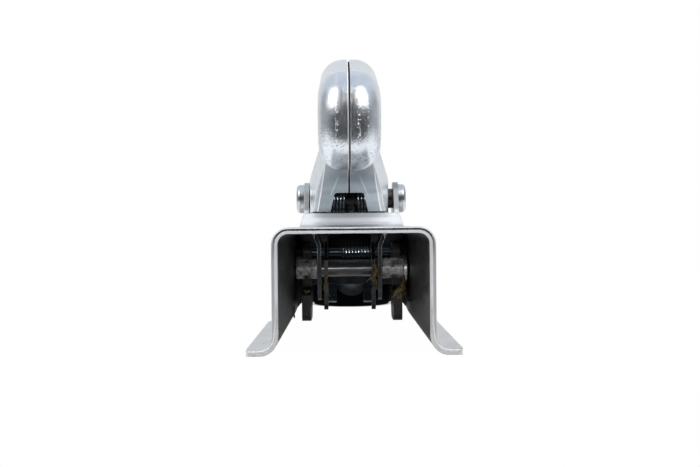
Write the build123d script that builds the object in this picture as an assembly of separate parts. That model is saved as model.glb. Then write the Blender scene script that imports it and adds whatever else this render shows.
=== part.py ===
from build123d import *
import os
from math import hypot, radians, tan

# Trailer coupling head for a 50 mm ball, pressed from steel sheet.
# The origin is the centre of the ball, +Y points to the towing vehicle and +Z up.

# Ball cup
ball_diameter = 50.0
ball_play = 0.3
sheet = 3.0
socket_radius = ball_diameter / 2 + ball_play
mouth_shift = 5.0

# Channel for the drawbar
drawbar_width = 70.0
channel_top = 29.0
channel_base = -30.4
channel_rear = -172.0
channel_corner = 5.0
rear_edge_radius = 0.8
neck_start = -30.5
neck_end = -10.0

# Flanges and lower edge
flange_reach = 12.2
flange_bend = 6.0
flange_front = -56.0
flange_front_corner = 12.0
flange_rear_corner = 2.5
neck_edge_z = -20.5
neck_edge_start = -38.0
neck_edge_rise = 12.0
neck_edge_length = 10.0
edge_step_behind = 4.0
edge_step_radius = 2.0
edge_dip_radius = 7.0
edge_rise_radius = 6.0

# Fixing holes for the drawbar bolts
bolt_hole_radius = 6.5
bolt_spacing = 50.0
rear_bolt_inset = 20.0

# Collar round the handle opening, and its ears
ear_gap = 51.0
ear_radius = 10.0
ear_foot_length = 34.0
ear_foot_forward = 1.0
collar_height = 8.0
collar_lip_rear = -79.5
collar_lip_front = -32.0
collar_front_drop = 4.4
collar_flat_behind_ears = 4.0
collar_corner = 8.0
collar_side_flare = 2.0
collar_lip_radius = 1.8

# Handle pivot
handle_pivot_y = -52.0
handle_pivot_z = 46.2
rivet_shank_radius = 5.0
rivet_head_radius = 8.75
rivet_head_height = 4.8
rivet_head_edge = 2.3
bush_wall = 1.0
running_play = 0.05

# Handle, a folded sheet
handle_sheet = 2.3
handle_offset = -1.3
handle_base_half = 23.3
handle_base_front = -38.0
handle_base_rear = -77.0
base_front_z = 34.0
base_rear_z = 37.8
base_top_z = 53.0
base_top_radius = 9.0
base_corner = 6.0
front_slope = 45.0

# Grip of the handle: crest, nose, underside and throat, seen from the side
grip_half = 15.0
grip_edge_radius = 12.0
crest_radius = 21.0
crest_slope = 19.1
nose_radius = 24.0
nose_rear = -174.2
nose_centre_z = 80.5
nose_flat = 0.6
underside_slope = 19.3
throat_y = -109.0
throat_radius = 16.0
neck_behind_base = 7.0
neck_z = 49.0
neck_radius = 14.0

# Cheeks of the handle, which spread from the grip to the base
cheek_low_z = 56.8
cheek_lean = 21.5
cheek_blend = 12.0
cheek_top_half = 4.0
flare_rear = -97.0
flare_front = -69.0
flare_corner = 10.0

# Seam and window of the handle
seam_width = 0.8
seam_front = -109.5
window_top_z = 48.5
window_top_half = 8.4
window_bottom_half = 11.5
window_corner = 2.0

# Handle legs and the cross shaft that they carry
leg_half_width = 7.2
leg_outer_half = 19.6
leg_end_z = -16.0
leg_step_high = 26.0
leg_step_low = 17.0
leg_step_shift = 1.0
leg_tip_flat = 0.4
shaft_y = -52.0
shaft_z = 3.3
shaft_radius = 5.0
shaft_end_play = 0.4
shaft_end_chamfer = 0.6
spacer_radius = 6.5
spacer_wall_play = 0.7
washer_radius = 8.2
washer_thickness = 1.9
stack_play = 0.05

# Torsion springs of the handle
coil_wire_radius = 0.9
coil_radius = 7.3
coil_pitch = 2.0
coil_turns = 4.5
coil_inner_x = 3.0
coil_lean = 14.0
coil_housing_tail = 27.5
coil_handle_tail = 20.0

# Ball jaw
jaw_pin_setback = 6.5
jaw_pin_z = 12.8
jaw_pin_radius = 2.75
jaw_pin_head_radius = 5.0
jaw_pin_head_height = 1.8
jaw_pin_head_edge = 0.9
jaw_side_room = 4.45
jaw_arm_thickness = 5.5
jaw_hub_radius = 7.0
jaw_heel_y = -60.0
jaw_ledge_z = -10.0
jaw_foot_z = -28.5
jaw_roller_play = 0.5
jaw_ledge_ahead = 5.0
jaw_foot_behind = 2.0
jaw_notch_radius = 3.0
jaw_heel_radius = 3.5
jaw_foot_radius = 4.0
jaw_front_radius = 6.0
web_thickness = 5.0
web_top_z = 8.0
web_bottom_z = -8.0
pad_radius = 11.0
pad_drop = 5.0
pad_wall = 4.2
pad_rivet_z = 1.8
pad_rivet_radius = 2.5
pad_rivet_depth = 2.5
pad_rivet_head_radius = 4.2
pad_rivet_head_height = 1.4
pad_rivet_head_edge = 1.2

# Spring and sleeves on the jaw pin
jaw_spring_wire_radius = 0.65
jaw_spring_radius = 3.5
jaw_spring_pitch = 2.0
jaw_spring_turns = 9
jaw_spring_left_x = -5.2
jaw_spring_lean = -65.0
jaw_spring_web_tail = 9.0
jaw_spring_free_tail = 4.0
sleeve_wall = 2.2
sleeve_jaw_play = 0.15
sleeve_wall_play = 0.1

# Catch frame on the cross shaft
catch_sheet = 2.4
catch_outer_half = 15.7
catch_rear_y = -60.0
catch_front_y = -44.5
catch_heel_z = 8.5
catch_foot_z = -21.6
catch_tab_reach = 5.2
catch_tab_top_z = -5.0
catch_tab_bottom_z = -17.0
catch_head_z = 20.0
catch_head_width = 6.0
catch_foot_cut = 4.0
catch_foot_top_z = -4.0
catch_heel_cut = 3.0
catch_small_radius = 3.0
catch_foot_radius = 4.0
catch_front_radius = 8.0
catch_head_radius = 2.0
catch_bridge_height = 8.6

# Derived places
channel_half = drawbar_width / 2
wall_outer = channel_half + sheet
collar_half = ear_gap / 2
collar_lip_z = channel_top + collar_height
bush_radius = rivet_shank_radius + bush_wall
handle_pivot = (handle_pivot_y, handle_pivot_z)
neck_y = handle_base_rear - neck_behind_base
shaft_at = (shaft_y, shaft_z)
jaw_front_y = -socket_radius - pad_wall
jaw_pin_y = jaw_front_y - jaw_pin_setback
jaw_pin = (jaw_pin_y, jaw_pin_z)
jaw_arm_outer = channel_half - jaw_side_room
jaw_arm_inner = jaw_arm_outer - jaw_arm_thickness
stack_left = handle_offset - leg_outer_half - stack_play
stack_right = handle_offset + leg_outer_half + stack_play
spacer_length = channel_half - spacer_wall_play + stack_left
far = channel_top - channel_rear


def across(y):
    """Plane across the coupling at y, seen from behind: x to the right and z up."""
    return Plane(origin=(0, y, 0), x_dir=(1, 0, 0), z_dir=(0, -1, 0))


def rounded(points, radii):
    """Closed outline with one corner radius for each point; 0 leaves a corner sharp."""
    face = make_face(Polyline(*points, close=True))
    for radius in sorted(set(radii) - {0}):
        corners = []
        for point, own in zip(points, radii):
            if own == radius:
                corners.append(face.vertices().sort_by_distance((point[0], point[1], 0))[0])
        face = fillet(corners, radius)
    return face


def along_x(face, left, right):
    """Side outline (y, z) made solid from x = left to x = right."""
    return extrude(Plane.YZ.offset(left) * face, amount=right - left)


def along_y(face, rear, front):
    """Cross section (x, z) made solid from y = rear to y = front."""
    return extrude(across(rear) * face, amount=front - rear, dir=(0, 1, 0))


def rod(centre, radius, left, right):
    """Round bar along x through the point (y, z)."""
    return along_x(Pos(*centre) * Circle(radius), left, right)


def ring(centre, outer, inner, left, right):
    """Tube along x round the point (y, z)."""
    return along_x(Pos(*centre) * (Circle(outer) - Circle(inner)), left, right)


def mirrored(shape):
    """The same shape on the other side of the middle plane."""
    return mirror(shape, about=Plane.YZ)


def channel_outline(grow):
    """Channel and flange section, filled in: grow is the sheet outside and 0 inside."""
    half = channel_half + grow
    top = channel_top - sheet + grow
    corner = channel_corner + grow
    if grow > 0:
        low = channel_base + sheet
        tip = wall_outer + flange_reach
        bend = flange_bend
    else:
        low = channel_base
        tip = wall_outer + flange_reach + far
        bend = flange_bend + sheet
    under = channel_base if grow > 0 else channel_base - far
    points = [(-tip, under), (tip, under), (tip, low), (half, low), (half, top)]
    points += [(-half, top), (-half, low), (-tip, low)]
    return rounded(points, [0, 0, 0, bend, corner, corner, bend, 0])


def neck_outline(grow, bottom):
    """Section of the channel where the neck starts, as six edges."""
    half = channel_half + grow
    top = channel_top - sheet + grow
    corner = channel_corner + grow
    edges = Line((-half, bottom), (half, bottom)) + Line((half, bottom), (half, top - corner))
    edges += CenterArc((half - corner, top - corner), corner, 0, 90)
    edges += Line((half - corner, top), (corner - half, top))
    edges += CenterArc((corner - half, top - corner), corner, 90, 90)
    edges += Line((-half, top - corner), (-half, bottom))
    return make_face(edges)


def cup_outline(grow, bottom):
    """Round-topped section of the ball cup, as six edges."""
    radius = socket_radius + grow
    edges = Line((-radius, bottom), (radius, bottom)) + Line((radius, bottom), (radius, 0))
    for start in (0, 60, 120):
        edges += CenterArc((0, 0), radius, start, 60)
    edges += Line((-radius, 0), (-radius, bottom))
    return make_face(edges)


def half_disc(radius, depth, z):
    """Front half of a disc at the height z, its depth less than its radius where it leans back."""
    disc = Circle(radius) if depth == radius else Ellipse(radius, depth)
    return Pos(0, 0, z) * (disc & (Pos(0, radius / 2) * Rectangle(2 * radius, radius)))


def head_form(grow, bottom):
    """Neck and ball cup, filled in: grow is the sheet outside and 0 inside."""
    radius = socket_radius + grow
    start = across(neck_start) * neck_outline(grow, bottom)
    end = across(neck_end) * cup_outline(grow, bottom)
    form = loft([start, end])
    form += along_y(cup_outline(grow, bottom), neck_end, 0)
    form += Sphere(radius, arc_size1=0, arc_size2=90, arc_size3=180, align=None)
    depth = radius - mouth_shift * bottom / channel_base
    return form + loft([half_disc(radius, radius, 0), half_disc(radius, depth, bottom)])


def collar_outline(z, grow):
    """Plan of the collar at the height z; its rear wall leans back at 45 degrees."""
    below = collar_lip_z - z
    half = collar_half + grow + collar_side_flare * below / collar_height
    rear = collar_lip_rear - below + (sheet - grow) * hypot(1, 1)
    front = collar_lip_front - sheet + grow
    points = [(-half, rear), (half, rear), (half, front), (-half, front)]
    corner = collar_corner + grow
    return Pos(0, 0, z) * rounded(points, [corner, corner, corner, corner])


def collar_form(grow, low, high):
    """Collar, filled in, between two heights."""
    return loft([collar_outline(low, grow), collar_outline(high, grow)])


def ear_plates():
    """Two ears that carry the handle's rivet."""
    foot_z = collar_lip_z - collar_front_drop
    foot = Pos(handle_pivot_y + ear_foot_forward, foot_z) * Rectangle(ear_foot_length, sheet / 3)
    outline = make_hull(foot.edges() + (Pos(*handle_pivot) * Circle(ear_radius)).edges())
    ear = along_x(outline, collar_half, collar_half + sheet)
    return ear + mirrored(ear)


def collar_trim():
    """What the collar loses in front, where its lip drops towards the cup."""
    rear_y = handle_pivot_y - ear_radius - collar_flat_behind_ears
    front_y = collar_lip_front + sheet
    front_z = collar_lip_z - collar_front_drop
    points = [(rear_y, collar_lip_z), (front_y, front_z), (front_y, far), (rear_y, far)]
    return along_x(make_face(Polyline(*points, close=True)), -far, far)


def collar_outside():
    """Collar with its trimmed lip, the lip's outer edge rounded."""
    collar = collar_form(sheet, channel_top - sheet, collar_lip_z) - collar_trim()
    roof = channel_top + sheet / 2
    edges = collar.edges().filter_by(lambda edge: edge.bounding_box().min.Z > roof)
    return fillet(edges, collar_lip_radius)


def lower_edge_cut():
    """Side view of what is cut away under the neck and the cup."""
    front = socket_radius + 2 * sheet
    wall_z = channel_base + sheet
    step_y = flange_front + edge_step_behind
    top_start = neck_edge_start + neck_edge_rise
    points = [(step_y, -far), (step_y, wall_z), (neck_edge_start, wall_z), (top_start, neck_edge_z)]
    points += [(top_start + neck_edge_length, neck_edge_z), (front, channel_base), (front, -far)]
    radii = [0, edge_step_radius, edge_dip_radius, edge_rise_radius, edge_rise_radius, 0, 0]
    return along_x(rounded(points, radii), -far, far)


def footprint():
    """Plan outline of the flanges and of what stands in front of them."""
    half = wall_outer + flange_reach
    points = [(-half, channel_rear), (half, channel_rear), (half, flange_front), (-half, flange_front)]
    rear = flange_rear_corner
    front = flange_front_corner
    plan = rounded(points, [rear, rear, front, front])
    start = flange_front - flange_front_corner
    length = socket_radius + sheet - start
    plan += Pos(0, start + length / 2) * Rectangle(2 * wall_outer, length)
    return extrude(Pos(0, 0, -far) * plan, amount=2 * far)


def bolt_holes():
    """Two holes in the roof of the channel for the drawbar bolts."""
    holes = Part()
    for place in range(2):
        y = channel_rear + rear_bolt_inset + place * bolt_spacing
        holes += Pos(0, y, channel_top) * Cylinder(bolt_hole_radius, 4 * sheet)
    return holes


def housing():
    channel = along_y(channel_outline(sheet), channel_rear, neck_start)
    outside = fillet(channel.faces().sort_by(Axis.Y)[0].edges(), rear_edge_radius)
    outside += head_form(sheet, channel_base)
    outside += collar_outside()
    outside += ear_plates()
    inside = along_y(channel_outline(0), channel_rear - 1.0, neck_start)
    inside += head_form(0, channel_base - 1.0)
    inside += collar_form(0, channel_top - 2 * sheet, collar_lip_z + sheet)
    shell = (outside - inside - lower_edge_cut()) & footprint()
    shell -= rod(handle_pivot, rivet_shank_radius + running_play, -far, far)
    shell -= rod(jaw_pin, jaw_pin_radius + running_play, -far, far)
    return shell - bolt_holes()


def pin_head(centre, radius, height, edge, start):
    """Button head on the right end of a pin, with its outer edge rounded."""
    head = rod(centre, radius, start, start + height)
    return fillet(head.faces().sort_by(Axis.X)[-1].edges(), edge)


def handle_rivet():
    half = collar_half + sheet
    head = pin_head(handle_pivot, rivet_head_radius, rivet_head_height, rivet_head_edge, half)
    return rod(handle_pivot, rivet_shank_radius, -half, half) + head + mirrored(head)


def pivot_bush():
    half = collar_half - stack_play
    return ring(handle_pivot, bush_radius, rivet_shank_radius + running_play, -half, half)


def handle_profile():
    """Side view of the handle: its front, crest, nose, underside and throat."""
    rise = tan(radians(crest_slope))
    lean = tan(radians(front_slope))
    top = nose_centre_z + nose_flat / 2 + nose_radius * tan(radians(90 - crest_slope) / 2)
    bottom = nose_centre_z - nose_flat / 2 - nose_radius * tan(radians(90 + underside_slope) / 2)
    crest_y = (base_top_z + handle_base_front * lean + nose_rear * rise - top) / (rise + lean)
    crest_z = top + (crest_y - nose_rear) * rise
    throat_z = bottom + (throat_y - nose_rear) * tan(radians(underside_slope))
    points = [(handle_base_front, base_front_z), (handle_base_front, base_top_z), (crest_y, crest_z)]
    points += [(nose_rear, top), (nose_rear, bottom), (throat_y, throat_z), (neck_y, neck_z)]
    points += [(handle_base_rear, base_rear_z)]
    radii = [0, base_top_radius, crest_radius, nose_radius, nose_radius, throat_radius, neck_radius, 0]
    return rounded(points, radii)


def inner_profile(inset):
    """Side view of the handle, drawn in by the inset."""
    if inset == 0:
        return handle_profile()
    return offset(handle_profile(), amount=-inset, kind=Kind.INTERSECTION)


def grip_form(inset):
    """Round-edged grip, filled in."""
    half = grip_half - inset
    form = along_x(inner_profile(inset), -half, half)
    low = base_rear_z + 2 * inset
    edges = form.edges().filter_by(lambda edge: edge.center().Z > low and abs(edge.center().X) > half / 2)
    return fillet(edges, grip_edge_radius - inset)


def cheek_section(half):
    """Section across the base of the handle, whose cheeks lean in towards the grip."""
    tip_z = cheek_low_z + (half - cheek_top_half) / tan(radians(cheek_lean))
    points = [(-half, 0), (half, 0), (half, cheek_low_z), (cheek_top_half, tip_z)]
    points += [(-cheek_top_half, tip_z), (-half, cheek_low_z)]
    return rounded(points, [0, 0, cheek_blend, 0, 0, cheek_blend])


def cheek_plan(half, grip, inset):
    """Plan of the base of the handle, narrow behind and wide over the collar."""
    front = handle_base_front - inset
    slope = (half - grip) / (flare_front - flare_rear)
    tail = 2 * flare_rear - flare_front
    tail_half = 2 * grip - half
    points = [(-half, front), (-half, flare_front), (-tail_half, tail)]
    points += [(tail_half, tail), (half, flare_front), (half, front)]
    corner = base_corner - inset
    return rounded(points, [corner, flare_corner, 0, 0, flare_corner, corner])


def base_form(inset):
    """Base of the handle, filled in."""
    half = handle_base_half - inset
    form = along_x(inner_profile(inset), -half, half)
    form &= along_y(cheek_section(half), nose_rear, 0)
    return form & extrude(cheek_plan(half, grip_half - inset, inset), amount=far)


def handle_form(inset):
    """Handle, filled in: inset is 0 outside and the sheet inside."""
    return grip_form(inset) + base_form(inset)


def leg_outline():
    """Side view of one leg, rounded at its lower end."""
    width = 2 * leg_half_width
    height = handle_pivot_z - leg_end_z
    centre = (shaft_y, (handle_pivot_z + leg_end_z) / 2)
    return Pos(*centre) * RectangleRounded(width, height, leg_half_width - leg_tip_flat / 2)


def leg_section():
    """Section of one leg: it steps in from the cheek to the inside of the housing."""
    outer = leg_outer_half
    inner = outer - handle_sheet
    base = handle_base_half
    points = [(inner, leg_end_z), (outer, leg_end_z), (outer, leg_step_low), (base, leg_step_high)]
    points += [(base, handle_pivot_z), (base - handle_sheet, handle_pivot_z)]
    points += [(base - handle_sheet, leg_step_high + leg_step_shift), (inner, leg_step_low + leg_step_shift)]
    return make_face(Polyline(*points, close=True))


def legs():
    leg = along_y(leg_section(), shaft_y - leg_half_width, shaft_y + leg_half_width)
    leg &= along_x(leg_outline(), 0, handle_base_half)
    return leg + mirrored(leg)


def seam_cut():
    """Open seam along the middle of the grip, from the crest round the nose to the window."""
    rear = nose_rear - nose_radius
    slit = Pos((rear + seam_front) / 2, window_top_z + far / 2) * Rectangle(seam_front - rear, far)
    height = nose_centre_z - window_top_z
    neck = Pos((seam_front + neck_y) / 2, window_top_z + height / 2) * Rectangle(neck_y - seam_front, height)
    return along_x(slit + neck, -seam_width / 2, seam_width / 2)


def window_cut():
    """Window in the rear wall of the handle's base."""
    low = base_rear_z - handle_sheet
    points = [(-window_bottom_half, low), (window_bottom_half, low)]
    points += [(window_top_half, window_top_z), (-window_top_half, window_top_z)]
    outline = rounded(points, [0, 0, window_corner, window_corner])
    return along_y(outline, throat_y, handle_base_rear + 3 * handle_sheet)


def base_mouth():
    """Open underside of the handle's base, between its four walls."""
    depth = handle_base_front - handle_base_rear - 2 * handle_sheet
    middle = (handle_base_front + handle_base_rear) / 2
    half = handle_base_half - handle_sheet
    plan = RectangleRounded(2 * half, depth, base_corner - handle_sheet)
    return extrude(Pos(0, middle, base_front_z - handle_sheet) * plan, amount=4 * handle_sheet)


def handle():
    shell = handle_form(0) - handle_form(handle_sheet) - base_mouth()
    shell += legs()
    shell -= seam_cut() + window_cut()
    shell -= rod(handle_pivot, bush_radius + running_play, -far, far)
    shell -= rod(shaft_at, shaft_radius + running_play, -far, far)
    return Pos(handle_offset, 0, 0) * shell


def spacer(side):
    start = stack_right if side == "right" else stack_left - spacer_length
    return ring(shaft_at, spacer_radius, shaft_radius + running_play, start, start + spacer_length)


def shaft_washer():
    start = stack_right + spacer_length + stack_play
    return ring(shaft_at, washer_radius, shaft_radius + running_play, start, start + washer_thickness)


def cross_shaft():
    half = channel_half - shaft_end_play
    shaft = rod(shaft_at, shaft_radius, -half, half)
    return chamfer(shaft.faces().filter_by(GeomType.PLANE).edges(), shaft_end_chamfer)


def coil(wire, radius, pitch, turns, first_tail, last_tail):
    """Coil along x from the origin, with a straight tail at each end; it starts at its lowest point."""
    helix = Helix(pitch, pitch * turns, radius)
    lead_in = Line((helix @ 0) - (helix % 0) * first_tail, helix @ 0)
    lead_out = Line(helix @ 1, (helix @ 1) + (helix % 1) * last_tail)
    path = lead_in + helix + lead_out
    section = Plane(origin=path @ 0, z_dir=path % 0) * Circle(wire)
    return Rotation(0, 90, 0) * sweep(section, path=path)


def handle_spring():
    """Right-hand torsion spring on the bush, drawn wound up; the left one is its mirror image."""
    spring = coil(coil_wire_radius, coil_radius, coil_pitch, coil_turns, coil_housing_tail, coil_handle_tail)
    return Pos(coil_inner_x, *handle_pivot) * Rotation(coil_lean, 0, 0) * spring


def jaw_arm():
    """One arm of the jaw: hub, heel under the roller and foot."""
    points = [(jaw_front_y, jaw_pin_z), (jaw_pin_y - jaw_hub_radius, jaw_pin_z)]
    points += [(shaft_y + jaw_ledge_ahead, jaw_ledge_z), (jaw_heel_y, jaw_ledge_z), (jaw_heel_y, jaw_foot_z)]
    points += [(jaw_pin_y - jaw_foot_behind, jaw_foot_z), (jaw_front_y, jaw_ledge_z)]
    radii = [0, 0, jaw_notch_radius, jaw_heel_radius, jaw_foot_radius, jaw_front_radius, jaw_front_radius]
    outline = rounded(points, radii)
    outline += Pos(*jaw_pin) * Circle(jaw_hub_radius)
    outline -= Pos(*shaft_at) * Circle(spacer_radius + jaw_roller_play)
    outline -= Pos(*jaw_pin) * Circle(jaw_pin_radius + running_play)
    return along_x(outline, jaw_arm_inner, jaw_arm_outer)


def ball_jaw():
    arm = jaw_arm()
    height = web_top_z - web_bottom_z
    middle = (web_top_z + web_bottom_z) / 2
    web = Pos(0, jaw_front_y - web_thickness / 2, middle) * Box(2 * jaw_arm_inner, web_thickness, height)
    hole = Pos(0, pad_rivet_z) * Circle(pad_rivet_radius + running_play)
    bore = along_y(hole, jaw_front_y - 2 * web_thickness, jaw_front_y + web_thickness)
    return arm + mirrored(arm) + web - bore


def ball_pad():
    """Dished pad that holds the ball from behind and below."""
    block = along_y(Pos(0, -pad_drop) * Circle(pad_radius), jaw_front_y, jaw_front_y + socket_radius)
    bore = Pos(0, pad_rivet_z) * Circle(pad_rivet_radius + running_play)
    return block - Sphere(socket_radius) - along_y(bore, jaw_front_y, jaw_front_y + pad_rivet_depth)


def pad_rivet():
    """Rivet that holds the pad to the web, with its head behind."""
    rear = jaw_front_y - web_thickness
    shank = along_y(Pos(0, pad_rivet_z) * Circle(pad_rivet_radius), rear, jaw_front_y + pad_rivet_depth)
    head = along_y(Pos(0, pad_rivet_z) * Circle(pad_rivet_head_radius), rear - pad_rivet_head_height, rear)
    return shank + fillet(head.edges().group_by(Axis.Y)[0], pad_rivet_head_edge)


def jaw_pin_part():
    head = pin_head(jaw_pin, jaw_pin_head_radius, jaw_pin_head_height, jaw_pin_head_edge, wall_outer)
    return rod(jaw_pin, jaw_pin_radius, -wall_outer, wall_outer) + head + mirrored(head)


def jaw_spring():
    """Spring on the jaw pin; one tail lies on the web."""
    spring = coil(jaw_spring_wire_radius, jaw_spring_radius, jaw_spring_pitch, jaw_spring_turns,
                  jaw_spring_free_tail, jaw_spring_web_tail)
    return Pos(jaw_spring_left_x, *jaw_pin) * Rotation(jaw_spring_lean, 0, 0) * spring


def jaw_sleeve():
    """Right-hand sleeve between the jaw and the wall."""
    inner = jaw_pin_radius + running_play
    left = jaw_arm_outer + sleeve_jaw_play
    return ring(jaw_pin, inner + sleeve_wall, inner, left, channel_half - sleeve_wall_play)


def catch_plate_outline():
    """Side view of one plate of the catch frame."""
    points = [(catch_rear_y, catch_foot_z), (catch_front_y - catch_foot_cut, catch_foot_z)]
    points += [(catch_front_y, catch_foot_top_z), (catch_front_y, catch_head_z)]
    points += [(catch_front_y - catch_head_width, catch_head_z)]
    points += [(catch_rear_y + catch_heel_cut, catch_heel_z + catch_heel_cut), (catch_rear_y, catch_heel_z)]
    radii = [catch_small_radius, catch_foot_radius, catch_front_radius, catch_head_radius, catch_head_radius]
    return rounded(points, radii + [catch_small_radius, 0])


def catch_frame():
    """Folded frame on the cross shaft: two plates, a bridge before the shaft and two inward tabs."""
    inner = catch_outer_half - catch_sheet
    plate = along_x(catch_plate_outline(), inner, catch_outer_half)
    tab_height = catch_tab_top_z - catch_tab_bottom_z
    tab_at = (inner - catch_tab_reach / 2, catch_rear_y + catch_sheet / 2, catch_tab_top_z - tab_height / 2)
    plate += Pos(*tab_at) * Box(catch_tab_reach, catch_sheet, tab_height)
    bridge = Box(2 * inner, catch_sheet, catch_bridge_height)
    frame = plate + mirrored(plate) + Pos(0, catch_front_y - catch_sheet / 2, shaft_z) * bridge
    frame -= rod(shaft_at, shaft_radius + running_play, -far, far)
    return Pos(handle_offset, 0, 0) * frame


def parts():
    """Every piece, with the name of its node."""
    spring = handle_spring()
    sleeve = jaw_sleeve()
    return {
        "housing": housing(),
        "handle_rivet": handle_rivet(),
        "pivot_bush": pivot_bush(),
        "handle_spring_left": mirrored(spring),
        "handle_spring_right": spring,
        "handle": handle(),
        "cross_shaft": cross_shaft(),
        "spacer_left": spacer("left"),
        "spacer_right": spacer("right"),
        "shaft_washer": shaft_washer(),
        "ball_jaw": ball_jaw(),
        "ball_pad": ball_pad(),
        "pad_rivet": pad_rivet(),
        "jaw_pin": jaw_pin_part(),
        "jaw_spring": jaw_spring(),
        "jaw_sleeve_left": mirrored(sleeve),
        "jaw_sleeve_right": sleeve,
        "catch_frame": catch_frame(),
    }


os.makedirs("parts", exist_ok=True)
for name, shape in parts().items():
    export_step(shape, f"parts/{name}.step")
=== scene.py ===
import bpy
import math
from mathutils import Matrix, Vector, noise

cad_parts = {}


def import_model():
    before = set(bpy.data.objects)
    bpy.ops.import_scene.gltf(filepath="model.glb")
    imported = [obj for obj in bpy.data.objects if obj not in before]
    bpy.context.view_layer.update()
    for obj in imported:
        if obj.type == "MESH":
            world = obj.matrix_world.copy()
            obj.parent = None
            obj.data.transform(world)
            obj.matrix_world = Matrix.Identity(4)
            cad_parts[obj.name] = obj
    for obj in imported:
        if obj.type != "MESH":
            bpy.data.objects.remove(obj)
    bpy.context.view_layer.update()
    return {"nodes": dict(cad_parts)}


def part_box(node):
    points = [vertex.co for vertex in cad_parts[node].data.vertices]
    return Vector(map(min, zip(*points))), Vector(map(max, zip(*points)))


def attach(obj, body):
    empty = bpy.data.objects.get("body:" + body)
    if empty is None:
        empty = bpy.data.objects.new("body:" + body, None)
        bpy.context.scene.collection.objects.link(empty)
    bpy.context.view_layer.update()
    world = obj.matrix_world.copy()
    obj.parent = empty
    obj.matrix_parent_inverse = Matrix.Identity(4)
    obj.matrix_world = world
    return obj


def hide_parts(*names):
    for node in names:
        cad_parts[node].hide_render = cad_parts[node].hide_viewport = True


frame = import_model()
nodes = frame["nodes"]
mm = 0.001

# Camera, fitted to the photograph: metres, radians and millimetres of lens
CAMERA_PLACE = Vector((-3.601, -518.838, 29.578)) * mm
CAMERA_YAW = 0.0058
CAMERA_PITCH = -0.0104
CAMERA_ROLL = -0.0090
CAMERA_LENS = 38.88
CAMERA_SENSOR = 36.0
CAMERA_NEAR = 0.01

# Where the object stands, in millimetres
FLOOR_Z = -30.4
FLOOR_GAP = 0.02
FLOOR_CENTRE = (0.0, -55.0)
FLOOR_HALF = (420.0, 180.0)
SHADOW_REACH = (60.0, 190.0)
SHADOW_SHARE = 0.012

# Shapes that the finishes and the added pieces follow, in millimetres
CHANNEL_HALF = 35.0
CHANNEL_TOP = 29.0
CHANNEL_REAR = -172.0
SHEET = 3.0
OUTER_HALF = CHANNEL_HALF + SHEET
CORNER = 8.0
ROOF = CHANNEL_TOP - SHEET
FLANGE_TOP = -27.4
FLANGE_BEND = 6.0
SHAFT_Y = -52.0
SHAFT_Z = 3.3
HANDLE_X = -1.3
HANDLE_MIDDLE_Y = -57.5
SPACER_OUTER = 6.45
SPACER_BORE = 5.05
SPACER_SUNK = 0.18
SPACER_RELIEF = 0.16
SPACER_CHAMFER = 0.35
GREASE_VOXEL = 0.28
HORN_EDGE = 0.5
HORN_Y = (-50.4, -44.6)
HORN_OUTLINE = [
    (13.3, 25.2), (13.3, 18.6), (14.2, 17.9), (15.6, 17.9),
    (16.6, 18.8), (18.2, 21.6), (18.4, 23.0), (18.4, 25.2),
]

# Where the housing's looks change, in millimetres: a pair is where a fade starts and ends, and
# three values are the middle of a line and its full and faded half widths
CUT_Y = (CHANNEL_REAR + 0.15, CHANNEL_REAR + 0.5)
CUT_CURVED_Z = (-1.0, 1.0)
CUT_LINE_DEPTH = (1.15, 0.25, 0.6)
CUT_LINE_Z = (12.0, 27.0)
CUT_ROLLED_Z = (16.0, 26.0)
CUT_WALL_Z = (-12.0, 0.0)
CUT_ROOF_Z = (22.0, 26.0)
CUT_PARTING_Z = (-27.0, -14.0)
CUT_PARTING_DEPTH = (0.6, 1.6)
CUT_GLINT_Z = (-22.0, -8.0)
COLLAR_Z = (CHANNEL_TOP + 0.2, CHANNEL_TOP + 2.0)
COLLAR_HIGHLIGHT_Z = (32.9, 0.5, 2.0)
COLLAR_BRIGHT_ENDS_X = (19.0, 24.5)
EARS_Z = (38.0, 40.0)
INSIDE_X = (CHANNEL_HALF + 0.6, CHANNEL_HALF + 1.2)
INSIDE_Y = (CHANNEL_REAR + 0.7, CHANNEL_REAR + 2.0)
INSIDE_Z = (ROOF + 0.6, ROOF + 1.2)
SHADE_LOW_Z = (-24.0, -4.0)
SHADE_DEEP_Y = (-66.0, -40.0)
CEILING_Y = (-75.0, -60.0)
CEILING_Z = (25.6, 25.9)

# Where the handle's looks change; every x here, and HOLLOW_Y, is measured from the handle's middle
REAR_Y = (-120.0, -105.0)
BACK_SHADE_Z = (54.0, 62.0)
NOSE_Y = (-158.0, -150.0)
NOSE_DIRT_X = (1.5, 5.4)
NOSE_DIRT_FOOT_Z = (78.0, 84.0)
NOSE_DIRT_TOP_Z = (88.0, 93.0)
NOSE_SPECKS_Z = (66.0, 72.0)
LEGS_Z = (24.0, 28.0)
HOLLOW_X = (21.2, 21.5)
HOLLOW_Y = (17.2, 17.4)
HOLLOW_Z = (50.0, 56.0)
CREASE_Z = (58.0, 64.0)
FOLD_Z = (52.0, 3.5, 6.5)
SEAM_X = (0.35, 0.6)
HANDLE_WEAR_GLINT_Z = (4.0, 18.0)

# Painted highlight on the lip beside the handle's seam
LIP_X = (-1.95, 0.1, 0.35)
LIP_Y = (-100.0, -90.0)
LIP_FOOT_Z = (47.0, 49.0)
LIP_TOP_Z = (60.0, 64.0)

# Press marks on the grip's nose: x, half widths of the full and the faded line, strength
NOSE_ROWS = ((-7.2, 0.3, 0.9, 1.0), (3.0, 0.4, 1.1, 1.0), (7.4, 0.2, 0.8, 0.5))
NOSE_BAND_FOOT_Z = (65.0, 69.0)
NOSE_BAND_TOP_Z = (82.0, 92.0)

# Folds at the back of the handle, where painted highlights run: distance from its middle at a height, and how it grows
# downwards
CREASE = (13.4, 63.2, 0.2)
FOLD = (5.55, 58.2, 0.46)

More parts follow.
